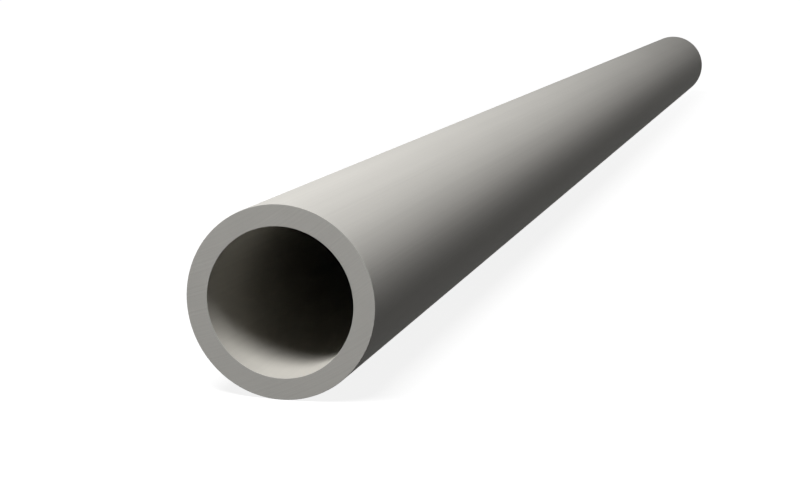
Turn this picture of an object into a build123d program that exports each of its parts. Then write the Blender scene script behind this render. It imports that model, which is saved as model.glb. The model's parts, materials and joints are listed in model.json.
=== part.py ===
from build123d import *

import os

# One length of grey PVC-U water pipe, a plain extruded tube sawn square at both ends.
# The pipe lies along Y with +Z up. The origin is on the pipe's axis, halfway along it.
# Its front end is at -Y and its rear end at +Y. Sizes are in millimetres.

# Driving dimensions: a metric pressure pipe of the SDR 9 series, in a one metre length
outside_diameter = 50.0
wall_thickness = 5.6
pipe_length = 1000.0
edge_break = 0.1  # the sawn rims are scraped by this much so that no burr is left

bore_diameter = outside_diameter - 2 * wall_thickness


def rims(part):
    """The circles where the two end faces meet the outside and the bore."""
    return part.edges().filter_by(GeomType.CIRCLE)


with BuildPart() as pipe:
    # The ring that the extruder's die gives the pipe, drawn square to the axis
    with BuildSketch(Plane.XZ):
        Circle(outside_diameter / 2)
        Circle(bore_diameter / 2, mode=Mode.SUBTRACT)
    extrude(amount=pipe_length / 2, both=True)
    chamfer(rims(pipe), edge_break)

pipe.part.label = "pipe"

os.makedirs("parts", exist_ok=True)
export_step(pipe.part, "parts/pipe.step")
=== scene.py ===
"""A length of grey water pipe: its wall, its finishes, the studio round it and the camera.

Lengths are in metres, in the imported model's own frame, and colours are linear. The pipe lies
along Y with +Z up, and its axis passes through the origin. Its front end, the one near the camera,
is at -Y. Left and right are those of someone who stands ahead of the front end and looks along +Y,
so right is +X.
"""

import json
import logging
import math
from abc import ABC, abstractmethod
from dataclasses import dataclass, field
from enum import Enum
from functools import reduce
from operator import add
from typing import Any, Iterable, Iterator, Mapping, Sequence, Union

import bmesh
import bpy
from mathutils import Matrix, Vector


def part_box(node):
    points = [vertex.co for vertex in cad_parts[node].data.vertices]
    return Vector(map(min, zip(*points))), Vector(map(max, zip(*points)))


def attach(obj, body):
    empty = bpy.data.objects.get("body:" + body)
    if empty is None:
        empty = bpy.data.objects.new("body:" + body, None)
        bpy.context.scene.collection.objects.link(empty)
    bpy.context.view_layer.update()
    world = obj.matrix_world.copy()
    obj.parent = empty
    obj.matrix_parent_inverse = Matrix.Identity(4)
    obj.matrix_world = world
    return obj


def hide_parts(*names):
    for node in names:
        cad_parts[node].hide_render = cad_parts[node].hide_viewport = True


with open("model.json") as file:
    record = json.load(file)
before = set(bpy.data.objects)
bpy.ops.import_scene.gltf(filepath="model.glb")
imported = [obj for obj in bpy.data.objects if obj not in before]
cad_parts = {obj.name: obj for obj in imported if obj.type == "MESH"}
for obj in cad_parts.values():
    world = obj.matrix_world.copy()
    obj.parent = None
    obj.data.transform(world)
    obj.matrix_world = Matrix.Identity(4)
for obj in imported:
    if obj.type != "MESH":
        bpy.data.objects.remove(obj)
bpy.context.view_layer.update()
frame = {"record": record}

log = logging.getLogger("water_pipe")

Colour = tuple[float, float, float]
Point = tuple[float, float, float]
# What an input of a node takes: the wire of another node, a number, or a colour or a place
Setting =Union["Wire", float, Sequence[float]]

MM = 0.001
MICRON = 0.000001
RIGHT_ANGLE = math.pi / 2
ALONG_PIPE = Vector((0.0, 1.0, 0.0))
NOISE_MIDDLE = 0.5

PVC_GREY: Colour = (0.621, 0.605, 0.568)
# The bore's grey is darker than the outside's: painted shade in the bore.
BORE_GREY_WITH_PAINTED_SHADE: Colour = (0.578, 0.559, 0.512)
# The sawn ends' grey is paler than the outside's: partly the whitening of sawn PVC, partly painted
# light on the end faces.
SAWN_GREY_WITH_PAINTED_LIGHT: Colour = (0.638, 0.624, 0.586)
PVC_INDEX = 1.53


# Node graphs

@dataclass(frozen=True)
class Pattern:
    """Soft noise of one size on the pipe, and how far it changes the surface."""

    size: float
    """The size of its blobs across the pipe, in metres."""
    stretch: float = 1.0
    """How many times longer they are along the pipe."""
    octaves: float = 2.0
    """How many finer octaves it has."""
    octave_share: float = 0.5
    """How strong each octave is beside the one before it."""
    tone: float = 0.0
    """The share by which it lightens the colour."""
    dulling: float = 0.0
    """How much it adds to the roughness."""
    height: float = 0.0
    """How far it raises the surface, in metres."""


class Wire:
    """The value that comes out of one socket, with the arithmetic that the materials use."""

    def __init__(self, graph: "Graph", socket: bpy.types.NodeSocket | None) -> None:
        """Remember the graph that the Math nodes go into, and the socket, if the node has one."""
        self.graph = graph
        self.socket = socket

    def _math(self, operation: str, left: Setting, right: Setting) -> "Wire":
        """What one Math node makes of two values."""
        return self.graph.node("ShaderNodeMath", {"operation": operation}, {0: left, 1: right})

    def __add__(self, other: Setting) -> "Wire":
        """This value plus another."""
        return self._math("ADD", self, other)

    def __radd__(self, other: Setting) -> "Wire":
        """Another value plus this one."""
        return self._math("ADD", other, self)

    def __sub__(self, other: Setting) -> "Wire":
        """This value less another."""
        return self._math("SUBTRACT", self, other)

    def __rsub__(self, other: Setting) -> "Wire":
        """Another value less this one."""
        return self._math("SUBTRACT", other, self)

    def __mul__(self, other: Setting) -> "Wire":
        """This value times another."""
        return self._math("MULTIPLY", self, other)

    def __rmul__(self, other: Setting) -> "Wire":
        """Another value times this one."""
        return self._math("MULTIPLY", other, self)

    def __pow__(self, other: Setting) -> "Wire":
        """This value to the power of another."""
        return self._math("POWER", self, other)

    def __rpow__(self, other: Setting) -> "Wire":
        """Another value to the power of this one."""
        return self._math("POWER", other, self)

    def at_least(self, other: Setting) -> "Wire":
        """The higher of this value and another."""
        return self._math("MAXIMUM", self, other)


class Graph:
    """The node graph of one material or of the world."""

    def __init__(self, tree: bpy.types.NodeTree) -> None:
        """Empty the tree, so that only the nodes made here are in it."""
        self.tree = tree
        self.tree.nodes.clear()

    def node(
        self,
        kind: str,
        settings: Mapping[str, Any] | None = None,
        sockets: Mapping[int | str, Setting] | None = None,
        out: int | str = 0,
    ) -> Wire:
        """Add one node.

        Args:
            kind: The node's type.
            settings: Its own settings, set before its sockets.
            sockets: A value or a wire for each input that isn't left at its default.
            out: The output that is wanted.

        Returns:
            The wire from that output.
        """
        made = self.tree.nodes.new(kind)
        for name, value in (settings or {}).items():
            setattr(made, name, value)
        for name, value in (sockets or {}).items():
            if isinstance(value, Wire):
                self.tree.links.new(value.socket, made.inputs[name])
            else:
                made.inputs[name].default_value = value
        return Wire(self, made.outputs[out] if made.outputs else None)

    def place(self, stretch: Point = (1.0, 1.0, 1.0)) -> Wire:
        """A point's place in the model's frame, in metres, with each axis scaled."""
        here = self.node("ShaderNodeTexCoord", out="Object")
        return self.node("ShaderNodeVectorMath", {"operation": "MULTIPLY"}, {0: here, 1: stretch})

    def distance(self, place: Wire, mark: Point) -> Wire:
        """How far a place is from a fixed mark, in metres."""
        ends = {0: place, 1: mark}
        return self.node("ShaderNodeVectorMath", {"operation": "DISTANCE"}, ends, "Value")

    def noise(self, pattern: Pattern, place: Wire | None = None) -> Wire:
        """Soft noise about zero.

        Args:
            pattern: Its size, stretch and octaves.
            place: The point that it is looked up at, where that isn't the place on the pipe.

        Returns:
            A value that mostly stays within 0.2 of zero.
        """
        sockets = {
            "Vector": place or self.place((1.0, 1 / pattern.stretch, 1.0)),
            "Scale": 1 / pattern.size,
            "Detail": pattern.octaves,
            "Roughness": pattern.octave_share,
        }
        noise = self.node("ShaderNodeTexNoise", {"noise_dimensions": "3D"}, sockets, "Fac")
        return noise - NOISE_MIDDLE

    def tint(self, colour: Colour, change: Wire) -> Wire:
        """A colour made lighter by a share, or darker where the share is below zero."""
        scale = {0: colour, "Scale": 1 + change}
        return self.node("ShaderNodeVectorMath", {"operation": "SCALE"}, scale)

    def bump(self, height: Wire) -> Wire:
        """The surface's normal over a relief whose height is in metres."""
        return self.node("ShaderNodeBump", {}, {"Strength": 1.0, "Distance": 1.0, "Height": height})

    def plastic(self, colour: Wire, roughness: Wire, relief: Wire, gloss: float) -> Wire:
        """The shader of the pipe's plastic.

        Args:
            colour: Its colour over the surface.
            roughness: Its roughness over the surface.
            relief: The height of its relief over the surface, in metres.
            gloss: The specular level, where 0.5 is a clean polished plastic.

        Returns:
            The wire of the shader.
        """
        sockets = {
            "Base Color": colour,
            "Roughness": roughness,
            "Normal": self.bump(relief),
            "IOR": PVC_INDEX,
            "Specular IOR Level": gloss,
        }
        return self.node("ShaderNodeBsdfPrincipled", {}, sockets)

    def seen(self) -> Wire:
        """Tell what the eye sees from the light that falls on the pipe.

        Returns:
            1 for what is seen straight, in a gloss or through glass, and 0 for the light.
        """
        kinds =("Camera", "Glossy", "Transmission")
        eye, gloss, glass = (self.node("ShaderNodeLightPath", out=f"Is {kind} Ray") for kind in kinds)
        return eye.at_least(gloss).at_least(glass)

    def finish(self, shader: Wire, kind: str = "ShaderNodeOutputMaterial") -> None:
        """Lead a shader to the graph's output."""
        self.node(kind, {}, {"Surface": shader})


def new_material(name: str) -> tuple[bpy.types.Material, Graph]:
    """Make a material that has no nodes yet.

    Args:
        name: The material's name.

    Returns:
        The material and its empty graph.
    """
    material = bpy.data.materials.new(name)
    material.use_nodes = True
    return material, Graph(material.node_tree)


def total(terms: Iterable[Wire]) -> Wire:
    """The sum of a few wires."""
    return reduce(add, terms)


def grey(level: float) -> tuple[float, float, float, float]:
    """A neutral colour, as a colour socket takes it."""
    return (level, level, level, 1.0)


# The finishes of the plastic

Layer = tuple[Pattern, Wire]


@dataclass(frozen=True)
class PlasticFinish(ABC):
    """A matt finish of the pipe's plastic, changed over the surface by a few soft patterns."""

    name: str
    colour: Colour
    roughness: float = 0.95
    gloss: float = 0.03

    @abstractmethod
    def layers(self, graph: Graph) -> list[Layer]:
        """The patterns of the finish, each with its noise."""

    def material(self) -> bpy.types.Material:
        """Make the finish's material.

        Returns:
            The material, whose colour, roughness and relief each add up what its patterns do.
        """
        made, graph = new_material(self.name)
        layers = self.layers(graph)
        tone = total(pattern.tone * noise for pattern, noise in layers if pattern.tone)
        dulling = total(pattern.dulling * noise for pattern, noise in layers if pattern.dulling)
        relief = total(pattern.height * noise for pattern, noise in layers if pattern.height)
        colour = graph.tint(self.colour, tone)
        graph.finish(graph.plastic(colour, self.roughness + dulling, relief, self.gloss))
        return made


@dataclass(frozen=True)
class ExtrudedSkin(PlasticFinish):
    """The outside, as the die and the sizing sleeve leave it: matt, with faint lines lengthwise."""

    name: str = "extruded_skin"
    colour: Colour = PVC_GREY
    lines: Pattern = Pattern(
        size=0.7 * MM, stretch=250, octaves=3, octave_share=0.6,
        tone=0.1, dulling=0.08, height=26 * MICRON,
    )
    bands: Pattern = Pattern(size=7 * MM, stretch=250, octaves=1, tone=0.08)
    clouds: Pattern = Pattern(size=45 * MM, stretch=3, octaves=3, tone=0.1, dulling=0.1)
    grain: Pattern = Pattern(size=0.5 * MM, height=13 * MICRON)

    def layers(self, graph: Graph) -> list[Layer]:
        """The die's lines and bands, the clouds in the plastic and the grain of its skin."""
        patterns = (self.lines, self.bands, self.clouds, self.grain)
        return [(pattern, graph.noise(pattern)) for pattern in patterns]


@dataclass(frozen=True)
class BoreSkin(PlasticFinish):
    """The bore, as the die's mandrel leaves it: lines lengthwise, and a slow ripple. Its grey is
    darker than the outside's, which paints shade into the bore.
    """

    name: str = "bore_skin"
    colour: Colour = BORE_GREY_WITH_PAINTED_SHADE
    lines: Pattern = Pattern(
        size=1.1 * MM, stretch=160, octave_share=0.55,
        tone=0.1, dulling=0.08, height=32 * MICRON,
    )
    ripple: Pattern = Pattern(size=9 * MM, stretch=2, tone=0.08, dulling=0.08)

    def layers(self, graph: Graph) -> list[Layer]:
        """The mandrel's lines and the ripple."""
        return [(pattern, graph.noise(pattern)) for pattern in (self.lines, self.ripple)]


@dataclass(frozen=True)
class SawnFace(PlasticFinish):
    """A sawn end: the fine curved marks of a round saw blade across the wall's section. Its grey is
    paler than the outside's: partly the whitening of sawn PVC, partly painted light on the end face.
    """

    name: str = "sawn_face"
    colour: Colour = SAWN_GREY_WITH_PAINTED_LIGHT
    blade_radius: float = 125 * MM
    blade_bearing: float = math.radians(118)
    """Where the blade's hub is from the pipe's axis: 0 is +X, and a right angle is up."""
    marks: Pattern = Pattern(
        size=0.55 * MM, octaves=3, octave_share=0.6,
        tone=0.24, dulling=0.1, height=34 * MICRON,
    )
    crumbs: Pattern = Pattern(size=0.25 * MM, tone=0.08, height=13 * MICRON)
    clouds: Pattern = Pattern(size=6 * MM, tone=0.07)

    def layers(self, graph: Graph) -> list[Layer]:
        """The blade's marks along its arcs, the crumbs that it tore and the clouds in the plastic."""
        marks = (self.marks, graph.noise(self.marks, self._arcs(graph)))
        return [marks] + [(pattern, graph.noise(pattern)) for pattern in (self.crumbs, self.clouds)]

    def _arcs(self, graph: Graph) -> Wire:
        """A place that changes only with the distance from the blade's hub.

        Args:
            graph: The graph of the face's material.

        Returns:
            That distance in metres, as the first coordinate of a point.
        """
        across = self.blade_radius * math.cos(self.blade_bearing)
        up = self.blade_radius * math.sin(self.blade_bearing)
        reach = graph.distance(graph.place((1.0, 0.0, 1.0)), (across, 0.0, up))
        return graph.node("ShaderNodeCombineXYZ", {}, {"X": reach})


@dataclass(frozen=True)
class ScrapedRim(PlasticFinish):
    """The narrow break that a scraper leaves on the four sharp edges of the sawn ends."""

    name: str = "scraped_rim"
    colour: Colour = PVC_GREY
    roughness: float = 0.9
    nicks: Pattern = Pattern(
        size=1.5 * MM, octaves=4, octave_share=0.65,
        tone=0.1, dulling=0.15, height=10 * MICRON,
    )

    def layers(self, graph: Graph) -> list[Layer]:
        """The nicks along the scraped edge."""
        return [(self.nicks, graph.noise(self.nicks))]


# The pipe

def new_object(name: str, data: bpy.types.ID) -> bpy.types.Object:
    """Put a mesh, a lamp or a camera in the scene.

    Args:
        name: The object's name.
        data: The mesh, lamp or camera.

    Returns:
        The object, at the origin.
    """
    made = bpy.data.objects.new(name, data)
    bpy.context.scene.collection.objects.link(made)
    return made


class Side(Enum):
    """The sides of the wall's section. The value is the place of each side's material."""

    SKIN = 0
    SAWN = 1
    BORE = 2
    RIM = 3


@dataclass(frozen=True)
class Station:
    """One corner of the wall's section, spun round the axis to make a ring of the mesh."""

    radius: float
    along: float
    bearing: float
    """Which way the surface faces there: 0 is outwards, and a right angle is towards +Y."""
    side: Side
    """The side of the section that starts there."""


@dataclass
class WaterPipe:
    """The pipe: one extruded wall, sawn square at both ends, with its rims scraped."""

    front: float
    """Where its front end is along Y."""
    rear: float
    """Where its rear end is along Y."""
    outside_radius: float
    bore_radius: float
    edge_break: float
    """How much of the wall the scraper takes off at each rim."""
    name: str = "water_pipe"
    node: str = "pipe"
    slot: str = "grey_pvc"
    facets_round: int = 288
    wall_steps: int = 25
    """How many lengths the outside and the bore are each divided into."""
    face_steps: int = 4
    """How many rings a sawn face is divided into."""
    rim_steps: int = 3
    """How many facets a scraped rim is rounded with."""
    skin: ExtrudedSkin = field(default_factory=ExtrudedSkin)
    bore: BoreSkin = field(default_factory=BoreSkin)
    face: SawnFace = field(default_factory=SawnFace)
    rim: ScrapedRim = field(default_factory=ScrapedRim)

    @classmethod
    def from_frame(cls, record: Mapping[str, Any]) -> "WaterPipe":
        """Take the pipe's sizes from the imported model.

        Args:
            record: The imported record, whose mounts give the radii and the straight part of the bore.

        Returns:
            The pipe, not yet built.
        """
        dims = {mount["name"]: mount["dims"] for mount in record["mounts"]}
        low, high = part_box(cls.node)
        return cls(
            front=low.y,
            rear=high.y,
            outside_radius=dims["front_spigot"]["r_mm"] * MM,
            bore_radius=dims["bore"]["r_mm"] * MM,
            edge_break=(high.y - low.y - dims["bore"]["length_mm"] * MM) / 2,
        )

    @property
    def length(self) -> float:
        """How long the pipe is from end to end, in metres."""
        return self.rear - self.front

    def _stations(self) -> Iterator[Station]:
        """The closed section of the wall, from the front outer rim round to the front face.

        Returns:
            Its corners in order, with the rims rounded and the straight sides divided.
        """
        inset = self.edge_break
        outer = self.outside_radius - inset
        inner = self.bore_radius + inset
        near = self.front + inset
        far = self.rear - inset
        corners = (
            (outer, near, Side.SKIN, self.wall_steps),
            (outer, far, Side.SAWN, self.face_steps),
            (inner, far, Side.BORE, self.wall_steps),
            (inner, near, Side.SAWN, self.face_steps),
        )
        for turn, (radius, along, side, steps) in enumerate(corners):
            next_radius, next_along, _, _ = corners[(turn + 1) % len(corners)]
            for step in range(self.rim_steps):
                bearing = (turn - 1 + step / self.rim_steps) * RIGHT_ANGLE
                yield self._offset(radius, along, bearing, Side.RIM)
            for step in range(steps):
                share = step / steps
                yield self._offset(
                    radius + (next_radius - radius) * share,
                    along + (next_along - along) * share,
                    turn * RIGHT_ANGLE,
                    side,
                )

    def _offset(self, radius: float, along: float, bearing: float, side: Side) -> Station:
        """A station one edge break out from a point of the section.

        Args:
            radius: The point's radius.
            along: Its place along Y.
            bearing: The direction that the surface faces there.
            side: The side of the section that starts there.

        Returns:
            The station, moved in the direction that it faces.
        """
        out = self.edge_break * math.cos(bearing)
        on = self.edge_break * math.sin(bearing)
        return Station(radius + out, along + on, bearing, side)

    def _mesh(self) -> bpy.types.Mesh:
        """Spin the section round the axis.

        Returns:
            A closed mesh with the true normals of the turned surface.
        """
        stations = list(self._stations())
        angles = [math.tau * facet / self.facets_round for facet in range(self.facets_round)]
        spokes = [Vector((math.cos(angle), 0.0, math.sin(angle))) for angle in angles]
        shape = bmesh.new()
        rings: list[list[bmesh.types.BMVert]] = []
        normals: list[Vector] = []
        for station in stations:
            middle = ALONG_PIPE * station.along
            rings.append([shape.verts.new(spoke * station.radius + middle) for spoke in spokes])
            out = math.cos(station.bearing)
            lean = ALONG_PIPE * math.sin(station.bearing)
            normals.extend(spoke * out + lean for spoke in spokes)
        for number, station in enumerate(stations):
            here = rings[number]
            there = rings[(number + 1) % len(rings)]
            for facet in range(self.facets_round):
                after = (facet + 1) % self.facets_round
                face = shape.faces.new((here[facet], there[facet], there[after], here[after]))
                face.material_index = station.side.value
                face.smooth = True
        mesh = bpy.data.meshes.new(self.name)
        shape.to_mesh(mesh)
        shape.free()
        mesh.normals_split_custom_set_from_vertices(normals)
        return mesh

    def _dress(self, mesh: bpy.types.Mesh) -> None:
        """Give each side of the section its finish.

        Args:
            mesh: The pipe's mesh, whose faces already hold the numbers of their sides.
        """
        finishes = {
            Side.SKIN: self.skin,
            Side.SAWN: self.face,
            Side.BORE: self.bore,
            Side.RIM: self.rim,
        }
        for side in Side:
            mesh.materials.append(finishes[side].material())

    def build(self) -> bpy.types.Object:
        """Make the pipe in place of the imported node, on the body that carries it.

        Returns:
            The finished piece.
        """
        mesh = self._mesh()
        self._dress(mesh)
        piece = new_object(self.name, mesh)
        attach(piece, "root")
        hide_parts(self.node)
        return piece


# The studio and the camera

@dataclass(frozen=True)
class PaperSweep:
    """White paper under the pipe: it keeps a soft shadow, and lets the fill through from below."""

    name: str = "paper_sweep"
    paper: float = 0.22
    """The share of the lamp's light that the paper gives back."""
    glow_near: float = 0.86
    """How much the paper glows by itself where the lamp lights it best."""
    glow_far: float = 1.0
    """How much it glows where the lamp's light has fallen off."""
    near: float = 0.2
    """How far from the best lit place the glow begins to grow, in metres."""
    far: float = 1.6
    """How far from there it has grown to the full, in metres."""

    def material(self, lit_from: Point) -> bpy.types.Material:
        """Make the material of the floor.

        Args:
            lit_from: The place that the key lamp lights best, in metres.

        Returns:
            The material, whose glow makes up for the key lamp's light as that falls off.
        """
        made, graph = new_material(self.name)
        span = {
            "Value": graph.distance(graph.place(), lit_from),
            "From Min": self.near,
            "From Max": self.far,
            "To Min": self.glow_near,
            "To Max": self.glow_far,
        }
        level = graph.node("ShaderNodeMapRange", {"interpolation_type": "SMOOTHSTEP"}, span)
        glow = graph.node("ShaderNodeEmission", {}, {"Color": level, "Strength": 1.0})
        paper = graph.node("ShaderNodeBsdfDiffuse", {}, {"Color": grey(self.paper)})
        shown = graph.node("ShaderNodeAddShader", {}, {0: glow, 1: paper})
        through = graph.node("ShaderNodeBsdfTransparent")
        graph.finish(graph.node("ShaderNodeMixShader", {}, {0: graph.seen(), 1: through, 2: shown}))
        return made


@dataclass(frozen=True)
class SoftLamp:
    """A large soft lamp, high up ahead of the front end and a little to its left."""

    name: str = "key_lamp"
    left: float = 0.141
    """How far it hangs to the left of the pipe's axis, in metres."""
    ahead: float = 0.552
    """How far it hangs ahead of the front end, in metres."""
    above: float = 1.24
    """How far it hangs above the pipe's axis, in metres."""
    aim_ahead: float = 0.226
    """How far ahead of the front end, in line with the axis, it is aimed, in metres."""
    size: tuple[float, float] = (0.846, 0.367)
    power: float = 22.4

    def build(self, front: float) -> bpy.types.Object:
        """Hang the lamp and turn it to its aim.

        Args:
            front: Where the pipe's front end is along Y.

        Returns:
            The lamp.
        """
        light = bpy.data.lights.new(self.name, "AREA")
        light.shape = "RECTANGLE"
        light.size, light.size_y = self.size
        light.energy = self.power
        place = Vector((-self.left, front - self.ahead, self.above))
        aim = Vector((0.0, front - self.aim_ahead, 0.0))
        lamp = new_object(self.name, light)
        lamp.location = place
        lamp.rotation_euler = (aim - place).to_track_quat("-Z", "Y").to_euler()
        return lamp


@dataclass
class Studio:
    """A plain soft studio: a pale floor, one soft lamp, and a low fill from beside and behind."""

    front: float
    """Where the pipe's front end is along Y."""
    floor_level: float
    floor_reach: float = 30.0
    """How far the floor goes on each way from the origin, in metres."""
    fill: float = 0.044
    """The fill from beside. There is none from straight ahead, and four times this from behind."""
    back: float = 1.05
    """What is added straight from behind."""
    back_focus: float = 8.0
    """How fast that fades towards the sides, as a power of the cosine."""
    white: float = 1.0
    """How bright the backdrop is to the eye."""
    paper: PaperSweep = field(default_factory=PaperSweep)
    key: SoftLamp = field(default_factory=SoftLamp)

    def build(self) -> tuple[bpy.types.Object, bpy.types.Object]:
        """Make the world, the floor and the lamp, and give back the last two."""
        self._world()
        return self._floor(), self.key.build(self.front)

    def _floor(self) -> bpy.types.Object:
        """Lay the floor that the pipe lies on.

        Returns:
            The floor, which isn't part of the object.
        """
        shape = bmesh.new()
        reach = self.floor_reach
        corners = ((-reach, -reach), (reach, -reach), (reach, reach), (-reach, reach))
        shape.faces.new([shape.verts.new((x, y, self.floor_level)) for x, y in corners])
        mesh = bpy.data.meshes.new("studio_floor")
        shape.to_mesh(mesh)
        shape.free()
        mesh.materials.append(self.paper.material((0.0, self.front, self.floor_level)))
        floor = new_object("studio_floor", mesh)
        return floor

    def _world(self) -> None:
        """Light the shade and the rear end, with nothing from in front, and show white all round."""
        world = bpy.data.worlds.new("studio_world")
        bpy.context.scene.world = world
        world.use_nodes = True
        graph = Graph(world.node_tree)
        way = graph.node("ShaderNodeTexCoord", out="Generated")
        rearward = graph.node("ShaderNodeSeparateXYZ", {}, {0: way}, "Y")
        wrap = 1 + rearward
        level = self.fill * wrap * wrap + self.back * rearward.at_least(0.0) ** self.back_focus
        lighting = graph.node("ShaderNodeBackground", {}, {"Color": level, "Strength": 1.0})
        backdrop = graph.node("ShaderNodeBackground", {}, {"Color": grey(self.white), "Strength": 1.0})
        shown = graph.node("ShaderNodeMixShader", {}, {0: graph.seen(), 1: lighting, 2: backdrop})
        graph.finish(shown, "ShaderNodeOutputWorld")


@dataclass
class Viewpoint:
    """Where the camera stands: ahead of the front end, to its right and a little above it."""

    front: float
    """Where the pipe's front end is along Y."""
    right: float = 0.1291
    ahead: float = 0.3520
    above: float = 0.0820
    turned_left: float = math.radians(15.520)
    tilted_down: float = math.radians(10.015)
    lens_mm: float = 68.819
    sensor_mm: float = 36.0
    nearest: float = 10 * MM

    def build(self) -> bpy.types.Object:
        """Make the camera and look through it.

        Returns:
            The camera.
        """
        optics = bpy.data.cameras.new("camera")
        optics.lens = self.lens_mm
        optics.sensor_width = self.sensor_mm
        optics.clip_start = self.nearest
        camera = new_object("camera", optics)
        camera.location = (self.right, self.front - self.ahead, self.above)
        camera.rotation_euler = (RIGHT_ANGLE - self.tilted_down, 0.0, self.turned_left)
        bpy.context.scene.camera = camera
        return camera


# The whole scene


def main() -> None:
    """Build the pipe, the studio and the camera, in that order, and report each piece."""
    logging.basicConfig(level=logging.INFO, format="%(name)s: %(message)s")
    pipe = WaterPipe.from_frame(frame["record"])
    piece = pipe.build()
    log.info("%s: %d faces, %.0f mm long", piece.name, len(piece.data.polygons), pipe.length / MM)
    studio = Studio(front=pipe.front, floor_level=-pipe.outside_radius)
    floor, lamp = studio.build()
    log.info("%s: level %.1f mm", floor.name, studio.floor_level / MM)
    log.info("%s: %.1f W", lamp.name, lamp.data.energy)
    camera = Viewpoint(front=pipe.front).build()
    log.info("%s: %.1f mm lens", camera.name, camera.data.lens)
    bpy.context.scene.view_settings.view_transform = "Standard"


if __name__ == "__main__":
    main()
